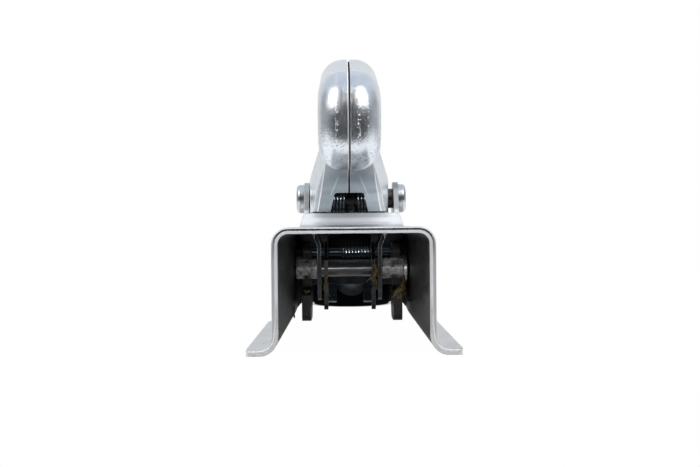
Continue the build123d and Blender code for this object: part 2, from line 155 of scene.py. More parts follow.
# Where the looks of the inner works change
TAB_X = (12.9, 13.2)
TAB_Z = (-4.5, -3.5)
TAB_LIP_HIGHLIGHT_Z = (-16.3, -15.8)
CATCH_HEAD_Z = (17.0, 18.5)
CATCH_WEAR_GLINT_Z = (-8.0, 2.0)
JAW_ARMS_X = (24.6, 24.9)
PIN_HEAD_X = (CHANNEL_HALF + 1.0, CHANNEL_HALF + 2.0)
PAD_GLOW_Z = -4.0
PAD_GLOW_RADIUS = 9.5
JAW_SPRING_LIT_Z = (13.6, 0.9, 1.9)

# Studio that reflections see: z is 1 straight up, behind is 1 straight behind the camera
STUDIO_FRONT = (-0.95, 0.2)
STUDIO_FLAG = (-0.36, 0.03, 0.12)
STUDIO_SKY_Z = (0.35, 0.8)
LAMP_GAP = (0.6, 0.8)
LAMP_GAP_FOOT_Z = (0.25, 0.35)
LAMP_GAP_TOP_Z = (0.85, 0.97)
ROOM = (0.3, 0.5)
ROOM_FOOT_Z = (-0.84, -0.77)
ROOM_TOP_Z = (0.3, 0.42)

# Worn edges, lightened as wear and as a painted glint: the cosine between the rounded and the plain normal, and how
# matt they are
WORN_GLINT_FROM = (0.82, 0.985)
WORN_GLINT_MATT = 0.5

# Nodes that a low lamp lights
WORKS = ("cross_shaft", "shaft_washer", "ball_jaw", "ball_pad", "pad_rivet", "jaw_pin", "catch_frame")
SPRINGS = ("jaw_spring", "handle_spring_left", "handle_spring_right")

# Lamps: place, target, size and power
TARGET = (0, -0.15, 0.08)
SOFTBOXES = {
    "softbox_left": ((-0.96, -0.79, 1.10), TARGET, (1.0, 1.15), 7.5),
    "softbox_right": ((0.62, -1.04, 1.22), TARGET, (1.08, 1.25), 9.0),
}
TOP_FILL = ((0, -0.55, 1.45), (0, -0.10, 0.04), (0.8, 0.8), 8.0)
WINDOW_PLACE = (-0.10, -1.90, 0.12)
WINDOW_TARGET = (0, -0.05, 0.01)

# Grease and a shaving: name, body, finish and drops, each x, y, z and three radii in millimetres
SMEARS = [
    ("grease_plate_right", "catch", "grease", [
        (13.8, -60.4, 7.6, 0.8, 0.6, 2.0), (13.9, -60.4, 5.0, 1.4, 0.8, 2.4), (14.8, -60.2, 2.6, 1.9, 1.0, 2.6),
        (13.8, -60.5, 0.0, 2.0, 0.9, 2.4), (12.6, -60.6, -2.6, 1.6, 0.7, 2.0), (16.2, -59.8, 0.4, 1.0, 0.9, 2.4),
        (11.4, -60.8, -2.4, 1.1, 0.45, 0.9), (10.2, -60.9, -3.2, 0.9, 0.34, 0.7), (9.0, -61.1, -4.1, 0.9, 0.28, 0.5),
        (7.8, -61.2, -4.9, 0.8, 0.24, 0.4), (6.7, -61.2, -5.5, 0.6, 0.2, 0.3), (14.9, -59.9, -5.0, 0.8, 0.6, 2.4),
        (15.2, -59.8, -8.2, 0.6, 0.5, 1.6),
    ]),
    ("grease_arm_right", "jaw", "grease", [
        (27.4, -60.3, -11.4, 2.4, 0.8, 2.6), (29.4, -60.3, -9.8, 2.6, 1.0, 2.6), (30.8, -59.6, -7.2, 2.0, 1.3, 2.6),
        (31.6, -59.0, -4.4, 1.5, 1.3, 2.2), (25.8, -60.4, -13.0, 1.5, 0.6, 1.8), (29.6, -60.3, -13.2, 1.7, 0.6, 2.8),
        (31.8, -59.4, -10.2, 1.4, 1.1, 2.8), (24.4, -60.4, -14.0, 0.9, 0.35, 0.6), (28.0, -60.3, -15.0, 1.1, 0.4, 1.6),
        (31.4, -59.0, -1.8, 0.9, 0.8, 1.2),
    ]),
    ("grease_arm_left", "jaw", "grease", [
        (-28.6, -59.6, -9.7, 1.7, 1.0, 1.0), (-26.4, -59.8, -9.9, 1.4, 0.8, 0.9), (-27.6, -60.2, -10.8, 0.8, 0.4, 0.8),
    ]),
    ("grease_plate_left", "catch", "grease", [
        (-15.5, -60.3, -1.6, 0.8, 0.6, 1.7), (-15.9, -60.4, -4.4, 1.3, 0.7, 2.2), (-16.5, -60.3, -7.0, 1.1, 0.6, 1.6),
        (-17.2, -60.0, -8.6, 0.7, 0.5, 0.9),
    ]),
    ("burr_left", "catch", "shaving", [
        (-14.7, -60.3, -9.3, 0.34, 0.3, 0.36), (-14.5, -60.3, -10.9, 0.36, 0.3, 0.5),
        (-14.1, -60.4, -12.1, 0.3, 0.25, 0.6), (-13.6, -60.5, -13.1, 0.3, 0.22, 0.6),
        (-12.9, -60.6, -14.0, 0.42, 0.2, 0.42), (-12.2, -60.7, -14.6, 0.42, 0.2, 0.3),
    ]),
    ("grease_wall_left", "housing", "grease", [
        (-34.9, -66.0, -19.5, 0.6, 2.2, 1.8), (-34.9, -65.0, -22.2, 0.5, 2.2, 1.7),
        (-34.9, -64.5, -24.6, 0.5, 2.0, 1.4),
    ]),
]


def rgb(red, green, blue):
    return (red, green, blue, 1.0)


WORN_GLINT_ZINC = rgb(0.8, 0.81, 0.82)
WORN_GLINT_STEEL = rgb(0.9, 0.92, 0.94)
# Colour of painted highlights, and of worn edges with their painted glint.
HIGHLIGHT_ZINC = rgb(0.95, 0.96, 0.97)
WHITE = rgb(1, 1, 1)


def is_socket(value):
    return isinstance(value, bpy.types.NodeSocket)


class Graph:
    """Short way to write shader nodes: each call returns the output of a new node."""

    def __init__(self, tree):
        self.tree = tree
        tree.nodes.clear()

    def add(self, kind, inputs=(), out=0, **settings):
        node = self.tree.nodes.new(kind)
        for name, value in settings.items():
            setattr(node, name, value)
        for socket, value in dict(inputs).items():
            if is_socket(value):
                self.tree.links.new(value, node.inputs[socket])
            else:
                node.inputs[socket].default_value = value
        return node.outputs[out] if len(node.outputs) else node

    def math(self, operation, *values):
        return self.add("ShaderNodeMath", dict(enumerate(values)), operation=operation)

    def chain(self, operation, values):
        result = values[0]
        for value in values[1:]:
            result = self.math(operation, result, value)
        return result

    def times(self, *values):
        return self.chain("MULTIPLY", values)

    def plus(self, *values):
        return self.chain("ADD", values)

    def most(self, *values):
        return self.chain("MAXIMUM", values)

    def less(self, first, second):
        return self.math("SUBTRACT", first, second)

    def excess(self, first, second):
        """How far the first is above the second, and 0 where it isn't."""
        return self.most(self.less(first, second), 0.0)

    def apart(self, value, centre=0.0):
        return self.math("ABSOLUTE", self.less(value, centre))

    def rest(self, value, share=1.0):
        """1 less a share of the value."""
        return self.less(1.0, self.times(value, share))

    def total(self, *pairs):
        """Sum of values, each times its share."""
        return self.plus(*[self.times(value, share) for value, share in pairs])

    def length(self, first, second):
        return self.math("SQRT", self.plus(self.math("POWER", first, 2.0), self.math("POWER", second, 2.0)))

    def vector(self, operation, *values, out=0):
        return self.add("ShaderNodeVectorMath", dict(enumerate(values)), out=out, operation=operation)

    def split(self, value):
        return self.add("ShaderNodeSeparateXYZ", {0: value}).node.outputs

    def ramp(self, value, low, high, start=0.0, end=1.0):
        """start below low, end above high, and a smooth step between them."""
        inputs = {"Value": value, "From Min": low, "From Max": high, "To Min": start, "To Max": end}
        return self.add("ShaderNodeMapRange", inputs, interpolation_type="SMOOTHSTEP")

    def fade(self, value, low, high, start=1.0):
        """start below low and 0 above high."""
        return self.ramp(value, low, high, start, 0.0)

    def band(self, value, centre, inner, outer, strength=1.0):
        """strength within inner of the centre, fading to 0 at outer."""
        return self.fade(self.apart(value, centre), inner, outer, strength)

    def noise(self, place, scale, detail=2.0, roughness=0.5, distortion=0.0):
        inputs = {"Vector": place, "Scale": scale, "Detail": detail, "Roughness": roughness, "Distortion": distortion}
        return self.add("ShaderNodeTexNoise", inputs)

    def stretched(self, place, x, y, z):
        return self.vector("MULTIPLY", place, (x, y, z))

    def colour(self, factor, first, second):
        node = self.tree.nodes.new("ShaderNodeMix")
        node.data_type = "RGBA"
        for socket, value in ((node.inputs["Factor"], factor), (node.inputs[6], first), (node.inputs[7], second)):
            if is_socket(value):
                self.tree.links.new(value, socket)
            else:
                socket.default_value = value
        return node.outputs[2]

    def place(self):
        """Position on the piece, in millimetres."""
        coordinates = self.add("ShaderNodeTexCoord", out="Object")
        scaled = self.vector("SCALE", coordinates)
        scaled.node.inputs["Scale"].default_value = 1 / mm
        return scaled

    def normal(self):
        return self.add("ShaderNodeTexCoord", out="Normal")

    def bump(self, height, **inputs):
        """Normal of a surface raised by the height, in millimetres."""
        return self.add("ShaderNodeBump", {"Height": height, "Distance": mm, "Strength": 1.0, **inputs})

    def surface(self, kind, inputs):
        self.add("ShaderNodeOutputMaterial", {"Surface": self.add(kind, inputs)})


def new_material(name):
    material = bpy.data.materials.new(name)
    material.use_nodes = True
    return material, Graph(material.node_tree)


def finish_steel(graph, colour, roughness, height, edge, wear_and_glint=0.0, worn_glint_colour=WORN_GLINT_ZINC, metallic=1.0, specular=0.5):
    """Ends a metal's nodes: edges rounded by the edge radius, and worn bright as wear and a painted glint. Lengths are
    in millimetres.
    """
    radius = graph.times(edge, mm) if is_socket(edge) else edge * mm
    rounded = graph.add("ShaderNodeBevel", {"Radius": radius}, samples=4)
    # Edges are lightened and made matter: partly wear, partly a painted glint along the edges.
    if is_socket(wear_and_glint) or wear_and_glint > 0:
        plain = graph.add("ShaderNodeNewGeometry", out="Normal")
        alike = graph.vector("DOT_PRODUCT", rounded, plain, out="Value")
        worn_glint = graph.fade(alike, *WORN_GLINT_FROM, wear_and_glint)
        colour = graph.colour(worn_glint, colour, worn_glint_colour)
        metallic = graph.times(metallic, graph.rest(worn_glint, WORN_GLINT_MATT))
    graph.surface("ShaderNodeBsdfPrincipled", {
        "Base Color": colour, "Roughness": roughness, "Metallic": metallic, "Specular IOR Level": specular,
        "Normal": graph.bump(height, Normal=rounded),
    })


def zinc(name, light, dark, rough_low, rough_high):
    """Zinc plating: soft clouds, fine speckle and shallow orange peel."""
    material, graph = new_material(name)
    place = graph.place()
    clouds = graph.noise(place, 0.09, 4.0, 0.6)
    grain = graph.noise(place, 2.2, 3.0, 0.7)
    spots = graph.ramp(graph.noise(place, 1.1, 2.0, 0.8), 0.6, 0.72)
    colour = graph.colour(graph.ramp(graph.total((clouds, 0.6), (grain, 0.35)), 0.25, 0.75), dark, light)
    colour = graph.colour(graph.times(spots, 0.175), colour, rgb(0.30, 0.30, 0.31))
    rough = graph.ramp(graph.plus(grain, graph.times(spots, 0.2)), 0.3, 0.8, rough_low, rough_high)
    height = graph.total((grain, 0.012), (clouds, 0.25))
    finish_steel(graph, colour, rough, height, 0.4, 0.3)
    return material


def sheared_edge(graph, place, across, z):
    """Colours of the channel's rear end, by depth from the sheet's outer surface, and its dark line; painted lighter
    towards the roof as painted light, with a painted highlight line that is strongest on the flanges.
    """
    roof_depth = graph.less(CORNER, graph.length(
        graph.excess(across, OUTER_HALF - CORNER), graph.excess(z, CHANNEL_TOP - CORNER)))
    wall_depth = graph.less(graph.length(
        graph.excess(OUTER_HALF + FLANGE_BEND, across), graph.excess(FLANGE_TOP + FLANGE_BEND, z)), FLANGE_BEND)
    upper = graph.ramp(z, *CUT_CURVED_Z)
    depth = graph.plus(graph.times(upper, roof_depth), graph.times(graph.rest(upper), wall_depth))
    wander = graph.times(graph.less(graph.noise(place, 0.9, 4.0, 0.75), 0.5), 0.7)
    line = graph.times(graph.band(graph.plus(depth, wander), *CUT_LINE_DEPTH), graph.ramp(z, *CUT_LINE_Z, 0.0, 0.97))
    # The rolled zone is painted lighter towards the roof: painted highlight.
    rolled = graph.colour(graph.ramp(z, *CUT_ROLLED_Z), rgb(0.46, 0.46, 0.46), rgb(0.78, 0.78, 0.78))
    patches = graph.ramp(graph.noise(place, 1.1, 4.0, 0.7), 0.35, 0.65)
    torn = graph.colour(patches, rgb(0.47, 0.465, 0.455), rgb(0.60, 0.595, 0.585))
    # The torn face is painted lighter up the wall and nearly white at the roof: painted light.
    torn = graph.colour(graph.ramp(z, *CUT_WALL_Z, 0.0, 0.75), torn, rgb(0.88, 0.88, 0.89))
    torn = graph.colour(graph.ramp(z, *CUT_ROOF_Z), torn, rgb(0.96, 0.96, 0.97))
    past = graph.less(depth, graph.ramp(z, *CUT_PARTING_Z, *CUT_PARTING_DEPTH))
    colour = graph.colour(graph.ramp(past, -0.25, 0.1), rolled, torn)
    # A painted highlight line where the rolled zone meets the torn one, strongest low down.
    parting_highlight = graph.times(graph.band(past, 0.0, 0.1, 0.36), graph.ramp(z, *CUT_GLINT_Z, 0.7, 0.2))
    return graph.colour(parting_highlight, colour, rgb(0.92, 0.93, 0.94)), line


def inside_mask(graph, normal, x, y, z):
    """1 on the inner surfaces of the channel, the neck and the cup, and 0 outside."""
    from_middle = graph.add("ShaderNodeCombineXYZ", {0: x, 1: graph.most(y, 0.0), 2: z})
    outward = graph.vector("DOT_PRODUCT", normal, from_middle, out="Value")
    return graph.times(graph.fade(graph.apart(x), *INSIDE_X), graph.fade(z, *INSIDE_Z),
                       graph.ramp(y, *INSIDE_Y), graph.fade(outward, -3.0, 0.0))


def painted_inner_shade(graph, place, y, z):
    """Painted shade inside the channel: dark and streaky, darker low down and nearly black deep inside, with a lighter
    ceiling.
    """
    streaks = graph.noise(graph.stretched(place, 1.0, 0.25, 1.0), 0.16, 4.0, 0.65)
    colour = graph.colour(graph.ramp(streaks, 0.35, 0.7), rgb(0.05, 0.049, 0.049), rgb(0.13, 0.128, 0.128))
    colour = graph.colour(graph.fade(z, *SHADE_LOW_Z, 0.9), colour, rgb(0.004, 0.004, 0.004))
    colour = graph.colour(graph.ramp(y, *SHADE_DEEP_Y), colour, rgb(0.0025, 0.004, 0.005))
    ceiling = graph.times(graph.ramp(z, *CEILING_Z), graph.fade(y, *CEILING_Y))
    return graph.colour(ceiling, colour, rgb(0.5, 0.5, 0.51))


def housing_zinc():
    """Satin zinc outside; the collar painted bluish as a reflection with painted highlights, the ears painted darker
    as shade, a sheared rear edge with painted light, and painted shade inside.
    """
    material, graph = new_material("zinc_housing_finish")
    place = graph.place()
    x, y, z = graph.split(place)
    across = graph.apart(x)
    normal = graph.normal()
    clouds = graph.noise(place, 0.07, 4.0, 0.6)
    grain = graph.noise(place, 2.4, 3.0, 0.7)
    inside = inside_mask(graph, normal, x, y, z)
    tone = graph.ramp(graph.total((clouds, 0.6), (grain, 0.4)), 0.3, 0.7)
    colour = graph.colour(tone, rgb(0.58, 0.58, 0.58), rgb(0.71, 0.71, 0.705))

    rear_end = graph.fade(y, *CUT_Y)
    sheared, line = sheared_edge(graph, place, across, z)
    colour = graph.colour(rear_end, colour, sheared)
    colour = graph.colour(graph.times(line, rear_end), colour, rgb(0.02, 0.02, 0.022))

    backward = graph.fade(graph.split(normal)[1], -0.35, -0.15)
    raised = graph.times(graph.ramp(z, *COLLAR_Z), graph.fade(z, *EARS_Z),
                         graph.ramp(backward, 0.0, 1.0, 0.1, 1.0))
    # The collar is painted bluish as a reflection, with a painted highlight band along the lip and white painted
    # highlights at its ends.
    collar_sheen = graph.colour(graph.band(z, *COLLAR_HIGHLIGHT_Z), rgb(0.68, 0.71, 0.735), HIGHLIGHT_ZINC)
    collar_sheen = graph.colour(graph.ramp(across, *COLLAR_BRIGHT_ENDS_X, 0.0, 0.85), collar_sheen, rgb(0.97, 0.975, 0.98))
    colour = graph.colour(raised, colour, collar_sheen)
    # The ears are painted darker, the right one most: painted shade.
    ear_shade = graph.times(graph.ramp(z, *EARS_Z), graph.ramp(x, -1.0, 1.0, 0.3, 0.95))
    colour = graph.colour(ear_shade, colour, rgb(0.33, 0.34, 0.35))
    # The inside is painted dark as shade.
    colour = graph.colour(inside, colour, painted_inner_shade(graph, place, y, z))

    rough = graph.plus(graph.ramp(grain, 0.3, 0.8, 0.3, 0.42), graph.times(rear_end, 0.16), graph.times(inside, 0.12))
    height = graph.total((grain, 0.014), (clouds, 0.2))
    matt = graph.times(graph.most(raised, rear_end), graph.rest(inside))
    metal = graph.times(graph.ramp(matt, 0.0, 1.0, 1.0, 0.15), graph.ramp(inside, 0.0, 1.0, 1.0, 0.2))
    finish_steel(graph, colour, rough, height, 0.6, 0.35, metallic=metal, specular=0.15)
    return material


def nose_marks(graph, place, x, z, on_nose, colour):
    """Rows of painted glints, dust and dark specks on the grip's nose: colour, height and how matt they are."""
    rows = graph.most(*[graph.band(x, *row) for row in NOSE_ROWS])
    on_band = graph.times(on_nose, graph.ramp(z, *NOSE_BAND_FOOT_Z), graph.ramp(z, *NOSE_BAND_TOP_Z, 1.0, 0.25))
    cells = graph.add("ShaderNodeTexVoronoi", {"Vector": place, "Scale": 1.0, "Randomness": 0.9}).node
    near = graph.fade(cells.outputs["Distance"], 0.3, 0.5)
    chance = graph.split(cells.outputs["Color"])[0]
    # White dots painted along the press marks where the nose's reflection is dark: painted glints.
    glints = graph.times(near, graph.math("LESS_THAN", chance, 0.85), rows, on_band)
    colour = graph.colour(glints, colour, rgb(0.90, 0.92, 0.94))
    fine = graph.noise(graph.stretched(place, 1.5, 1.0, 0.8), 1.3, 3.0, 0.8)
    dusty = graph.times(graph.ramp(fine, 0.44, 0.66), on_band)
    colour = graph.colour(graph.times(dusty, 0.4), colour, rgb(0.50, 0.48, 0.47))
    specks = graph.times(near, graph.math("GREATER_THAN", chance, 0.8), on_nose, graph.fade(z, *NOSE_SPECKS_Z, 0.75))
    colour = graph.colour(specks, colour, rgb(0.22, 0.20, 0.18))
    height = graph.times(graph.total((fine, 0.13), (rows, 0.05)), on_band)
    return colour, height, graph.most(graph.times(glints, 0.8), graph.times(dusty, 0.25))


def rear_folds(graph, x, y, z, centred, rear, colour):
    """Painted highlights on the creases and on the seam's lip, cheeks painted lighter, and the seam painted dark as
    shade, at the back of the handle: colour, and where the painted highlights and the seam are.
    """
    def line(offset, height, growth):
        return graph.plus(offset, graph.times(graph.less(height, z), growth))

    past = graph.less(centred, line(*CREASE))
    # Cheeks beyond the crease are painted lighter: painted light.
    lit_cheeks = graph.times(graph.ramp(past, 0.0, 0.5, 0.0, 0.85), rear, graph.fade(z, *CREASE_Z))
    colour = graph.colour(lit_cheeks, colour, rgb(0.72, 0.75, 0.78))
    # Bright lines along the crease, the fold and the seam's lip: painted highlights.
    crease_highlight = graph.times(graph.band(past, 0.0, 0.15, 0.6), rear)
    fold_highlight = graph.times(graph.band(graph.less(centred, line(*FOLD)), 0.0, 0.1, 0.8, 0.35), rear,
                        graph.band(z, *FOLD_Z))
    lip_highlight = graph.times(graph.band(x, *LIP_X, graph.ramp(z, *LIP_TOP_Z, 0.9, 0.55)),
                      graph.ramp(z, *LIP_FOOT_Z), graph.fade(y, *LIP_Y))
    # The seam's gap is painted near black: painted shade.
    seam = graph.fade(centred, *SEAM_X)
    colour = graph.colour(seam, colour, rgb(0.012, 0.012, 0.013))
    ridge_highlights = graph.most(crease_highlight, fold_highlight, lip_highlight)
    return graph.colour(ridge_highlights, colour, HIGHLIGHT_ZINC), ridge_highlights, seam


def handle_zinc():
    """Bright zinc on drawn sheet: matt at the back and painted darker and bluish low there as shade and reflection,
    painted shade in the hollow, legs darkened by grease and painted shade, and painted highlights on the folds.
    """
    material, graph = new_material("zinc_handle_finish")
    place = graph.place()
    x, y, z = graph.split(place)
    centred = graph.apart(x, HANDLE_X)
    facing = graph.split(graph.normal())[1]
    clouds = graph.noise(place, 0.08, 4.0, 0.6)
    grain = graph.noise(place, 1.7, 4.0, 0.75)
    tone = graph.ramp(graph.total((clouds, 0.55), (grain, 0.45)), 0.3, 0.7)
    colour = graph.colour(tone, rgb(0.64, 0.68, 0.72), rgb(0.84, 0.87, 0.90))
    spots = graph.ramp(graph.noise(place, 1.5, 3.0, 0.8), 0.58, 0.68)
    colour = graph.colour(graph.times(spots, 0.5), colour, rgb(0.30, 0.28, 0.27))

    rear = graph.times(graph.fade(facing, -0.45, -0.3), graph.ramp(y, *REAR_Y))
    # The lower back is painted darker and bluish: painted shade and reflection.
    colour = graph.colour(graph.times(rear, graph.fade(z, *BACK_SHADE_Z, 0.65)), colour, rgb(0.34, 0.42, 0.48))
    on_nose = graph.times(graph.fade(y, *NOSE_Y), graph.fade(facing, -0.3, -0.1))
    blotches = graph.ramp(graph.noise(place, 0.5, 4.0, 0.7), 0.40, 0.58, 0.6, 1.0)
    dirt = graph.times(graph.fade(centred, *NOSE_DIRT_X, 0.85), blotches, graph.ramp(z, *NOSE_DIRT_FOOT_Z),
                       graph.fade(z, *NOSE_DIRT_TOP_Z), on_nose)
    colour = graph.colour(dirt, colour, rgb(0.12, 0.10, 0.08))
    # The legs inside the housing are painted nearly black: grease and painted shade.
    leg_grease_and_shade = graph.colour(graph.ramp(grain, 0.35, 0.75), rgb(0.035, 0.035, 0.037), rgb(0.09, 0.09, 0.093))
    legs = graph.fade(z, *LEGS_Z)
    colour = graph.colour(legs, colour, leg_grease_and_shade)
    # The hollow inside the handle is painted nearly black: painted shade.
    hollow_shade = graph.times(graph.fade(centred, *HOLLOW_X), graph.fade(z, *HOLLOW_Z),
                         graph.fade(graph.apart(y, HANDLE_MIDDLE_Y), *HOLLOW_Y))
    colour = graph.colour(hollow_shade, colour, rgb(0.03, 0.033, 0.035))
    colour, nose_height, nose_matt = nose_marks(graph, place, x, z, on_nose, colour)
    colour, ridge_highlights, seam = rear_folds(graph, x, y, z, centred, rear, colour)

    rough = graph.ramp(graph.plus(grain, graph.times(spots, 0.25)), 0.3, 0.85, 0.10, 0.21)
    height = graph.plus(graph.total((grain, 0.05), (clouds, 0.16)), nose_height)
    dull = graph.most(graph.times(legs, 0.85), graph.times(rear, 0.45))
    metal = graph.times(graph.rest(dull), graph.rest(nose_matt), graph.rest(ridge_highlights, 0.8))
    radius = graph.ramp(legs, 0.0, 1.0, 0.9, 0.7)
    # The handle's edges are lightened more higher up: wear and painted glint.
    wear_and_glint = graph.times(graph.ramp(z, *HANDLE_WEAR_GLINT_Z, 0.2, 0.7), graph.rest(seam))
    finish_steel(graph, colour, rough, height, radius, wear_and_glint, HIGHLIGHT_ZINC, metal)
    return material


def paint_catch(graph, look, x, z):
    """Near-black tabs painted as shade with a painted highlight on their lip, lighter heads, and less edge wear and
    painted glint low down.
    """
    tab = graph.times(graph.fade(graph.apart(x, HANDLE_X), *TAB_X), graph.fade(z, *TAB_Z))
    # Tabs painted near black as shade, with a painted highlight on their lip.
    tab_shade_and_lip_highlight = graph.colour(graph.fade(z, *TAB_LIP_HIGHLIGHT_Z), rgb(0.003, 0.005, 0.006), rgb(0.14, 0.145, 0.15))
    colour = graph.colour(tab, look["colour"], tab_shade_and_lip_highlight)
    look["colour"] = graph.colour(graph.ramp(z, *CATCH_HEAD_Z), colour, rgb(0.06, 0.06, 0.061))
    look["wear_and_glint"] = graph.ramp(z, *CATCH_WEAR_GLINT_Z, 0.25, 1.0)


def paint_jaw(graph, look, x, z):
    """Painted shade: nearly black between the arms."""
    shade_between_arms = graph.fade(graph.apart(x), *JAW_ARMS_X)
    look["colour"] = graph.colour(shade_between_arms, look["colour"], rgb(0.004, 0.006, 0.008))


def paint_jaw_pin(graph, look, x, z):
    """Clean, smooth heads outside the housing."""
    head = graph.ramp(graph.apart(x), *PIN_HEAD_X)
    look["colour"] = graph.colour(head, look["colour"], rgb(0.68, 0.69, 0.70))
    look["height"] = graph.times(look["height"], graph.rest(head))


def paint_pad_glow(graph, look, x, z):
    """A painted soft highlight in the middle, fading to near black."""
    away = graph.ramp(graph.length(x, graph.less(z, PAD_GLOW_Z)), 0.0, PAD_GLOW_RADIUS)
    look["colour"] = graph.colour(away, rgb(0.11, 0.13, 0.15), rgb(0.003, 0.005, 0.006))


def dark_and_shaded_steel(name, light, dark, rough, wear_and_glint=0.5, metallic=0.75, turned=False, specular=0.5, paint=None):
    """Dark, greasy inner works, their darkness partly painted shade, with brown stains; a turned piece has its marks
    along x.

    paint changes the look of one piece's regions.
    """
    material, graph = new_material(name)
    place = graph.place()
    marks = graph.stretched(place, 0.06, 1.0, 1.0) if turned else place
    clouds = graph.noise(marks, 0.22, 4.0, 0.65)
    grain = graph.noise(marks, 2.0, 3.0, 0.7)
    stain = graph.ramp(graph.noise(place, 0.13, 3.0, 0.6, 0.6), 0.55, 0.72)
    colour = graph.colour(graph.ramp(graph.plus(clouds, graph.times(grain, 0.3)), 0.45, 0.85), dark, light)
    look = {
        "colour": graph.colour(graph.times(stain, 0.5), colour, rgb(0.09, 0.065, 0.03)),
        "roughness": graph.ramp(clouds, 0.3, 0.7, rough - 0.08, rough + 0.1),
        "height": graph.total((grain, 0.02), (clouds, 0.12)),
        "wear_and_glint": wear_and_glint,
    }
    if paint:
        x, y, z = graph.split(place)
        paint(graph, look, x, z)
    finish_steel(graph, edge=0.45, worn_glint_colour=WORN_GLINT_STEEL, metallic=metallic, specular=specular, **look)
    return material


def spring_wire(name, light, dark, lit=None):
    """Oiled wire with faint draw marks. With lit, a band of heights, it keeps its colour there and is painted dark
    elsewhere as painted shade.
    """
    material, graph = new_material(name)
    place = graph.place()
    grain = graph.noise(place, 3.0, 3.0, 0.7)
    clouds = graph.noise(place, 0.4, 3.0, 0.6)
    colour = graph.colour(graph.ramp(clouds, 0.35, 0.65), dark, light)
    if lit:
        height = graph.split(place)[2]
        colour = graph.colour(graph.band(height, *lit), rgb(0.07, 0.09, 0.11), colour)
    rough = graph.ramp(grain, 0.3, 0.8, 0.16, 0.26)
    finish_steel(graph, colour, rough, graph.times(grain, 0.01), 0.1, metallic=0.9)
    return material


def grease_material():
    material, graph = new_material("grease_finish")
    place = graph.place()
    clouds = graph.noise(place, 0.6, 4.0, 0.6)
    graph.surface("ShaderNodeBsdfPrincipled", {
        "Base Color": graph.colour(graph.ramp(clouds, 0.35, 0.7), rgb(0.09, 0.062, 0.014), rgb(0.25, 0.185, 0.06)),
        "Roughness": graph.ramp(clouds, 0.3, 0.7, 0.22, 0.4),
        "Normal": graph.bump(graph.times(graph.noise(place, 1.5, 3.0, 0.6), 0.15)),
        "Subsurface Weight": 0.15, "Subsurface Scale": mm,
    })
    return material


def dress_nodes():
    """Gives each CAD node its finish: the node's own, or else its slot's."""
    # The springs in the handle's window, the sleeves, the bush and the other dark inner works are partly darkened with
    # painted shade.
    window_spring = (rgb(0.22, 0.25, 0.28), rgb(0.08, 0.095, 0.11))
    sleeve = (rgb(0.08, 0.09, 0.1), rgb(0.03, 0.034, 0.04), 0.35, 0.3)
    finishes = {
        "zinc_housing": housing_zinc(),
        "zinc_handle": handle_zinc(),
        "zinc_fastener": zinc("zinc_fastener_finish", rgb(0.74, 0.75, 0.76), rgb(0.58, 0.59, 0.6), 0.24, 0.4),
        "spring_steel": spring_wire("spring_finish", rgb(0.80, 0.86, 0.92), rgb(0.5, 0.56, 0.62), JAW_SPRING_LIT_Z),
        "sheet_steel": dark_and_shaded_steel("spacer_finish", rgb(0.72, 0.72, 0.73), rgb(0.07, 0.066, 0.062), 0.3, metallic=0.45),
        "cross_shaft": dark_and_shaded_steel("shaft_finish", rgb(0.26, 0.26, 0.267), rgb(0.09, 0.09, 0.093), 0.24, 0.2, 0.6,
                                  turned=True),
        "ball_jaw": dark_and_shaded_steel("jaw_plate_finish", rgb(0.042, 0.042, 0.043), rgb(0.022, 0.022, 0.023), 0.42,
                               paint=paint_jaw),
        "handle_spring_left": spring_wire("window_spring_finish_left", *window_spring),
        "handle_spring_right": spring_wire("window_spring_finish_right", *window_spring),
        "ball_pad": dark_and_shaded_steel("pad_finish", rgb(0.05, 0.06, 0.07), rgb(0.02, 0.025, 0.03), 0.35, 0.0,
                               paint=paint_pad_glow),
        "pad_rivet": dark_and_shaded_steel("pad_rivet_finish", rgb(0.08, 0.09, 0.1), rgb(0.03, 0.034, 0.04), 0.35, 0.0,
                                paint=paint_pad_glow),
        "pivot_bush": dark_and_shaded_steel("bush_finish", rgb(0.08, 0.08, 0.085), rgb(0.03, 0.03, 0.032), 0.3),
        "catch_frame": dark_and_shaded_steel("catch_finish", rgb(0.045, 0.045, 0.048), rgb(0.013, 0.013, 0.014), 0.26,
                                  specular=0.1, paint=paint_catch),
        "jaw_pin": dark_and_shaded_steel("jaw_pin_finish", rgb(0.09, 0.12, 0.14), rgb(0.03, 0.043, 0.052), 0.3, 0.3,
                              turned=True, paint=paint_jaw_pin),
        "jaw_sleeve_left": dark_and_shaded_steel("sleeve_finish_left", *sleeve),
        "jaw_sleeve_right": dark_and_shaded_steel("sleeve_finish_right", *sleeve),
    }
    for name, piece in nodes.items():
        slot = piece.data.materials[0].name.split(".")[0]
        piece.data.materials[0] = finishes[name if name in finishes else slot]
    return finishes


def mesh_object(name, points, faces, material, smooth=True):
    data = bpy.data.meshes.new(name)
    data.from_pydata([Vector(point) * mm for point in points], [], faces)
    data.materials.append(material)
    if smooth:
        data.polygons.foreach_set("use_smooth", [True] * len(data.polygons))
    piece = bpy.data.objects.new(name, data)
    bpy.context.scene.collection.objects.link(piece)
    return piece


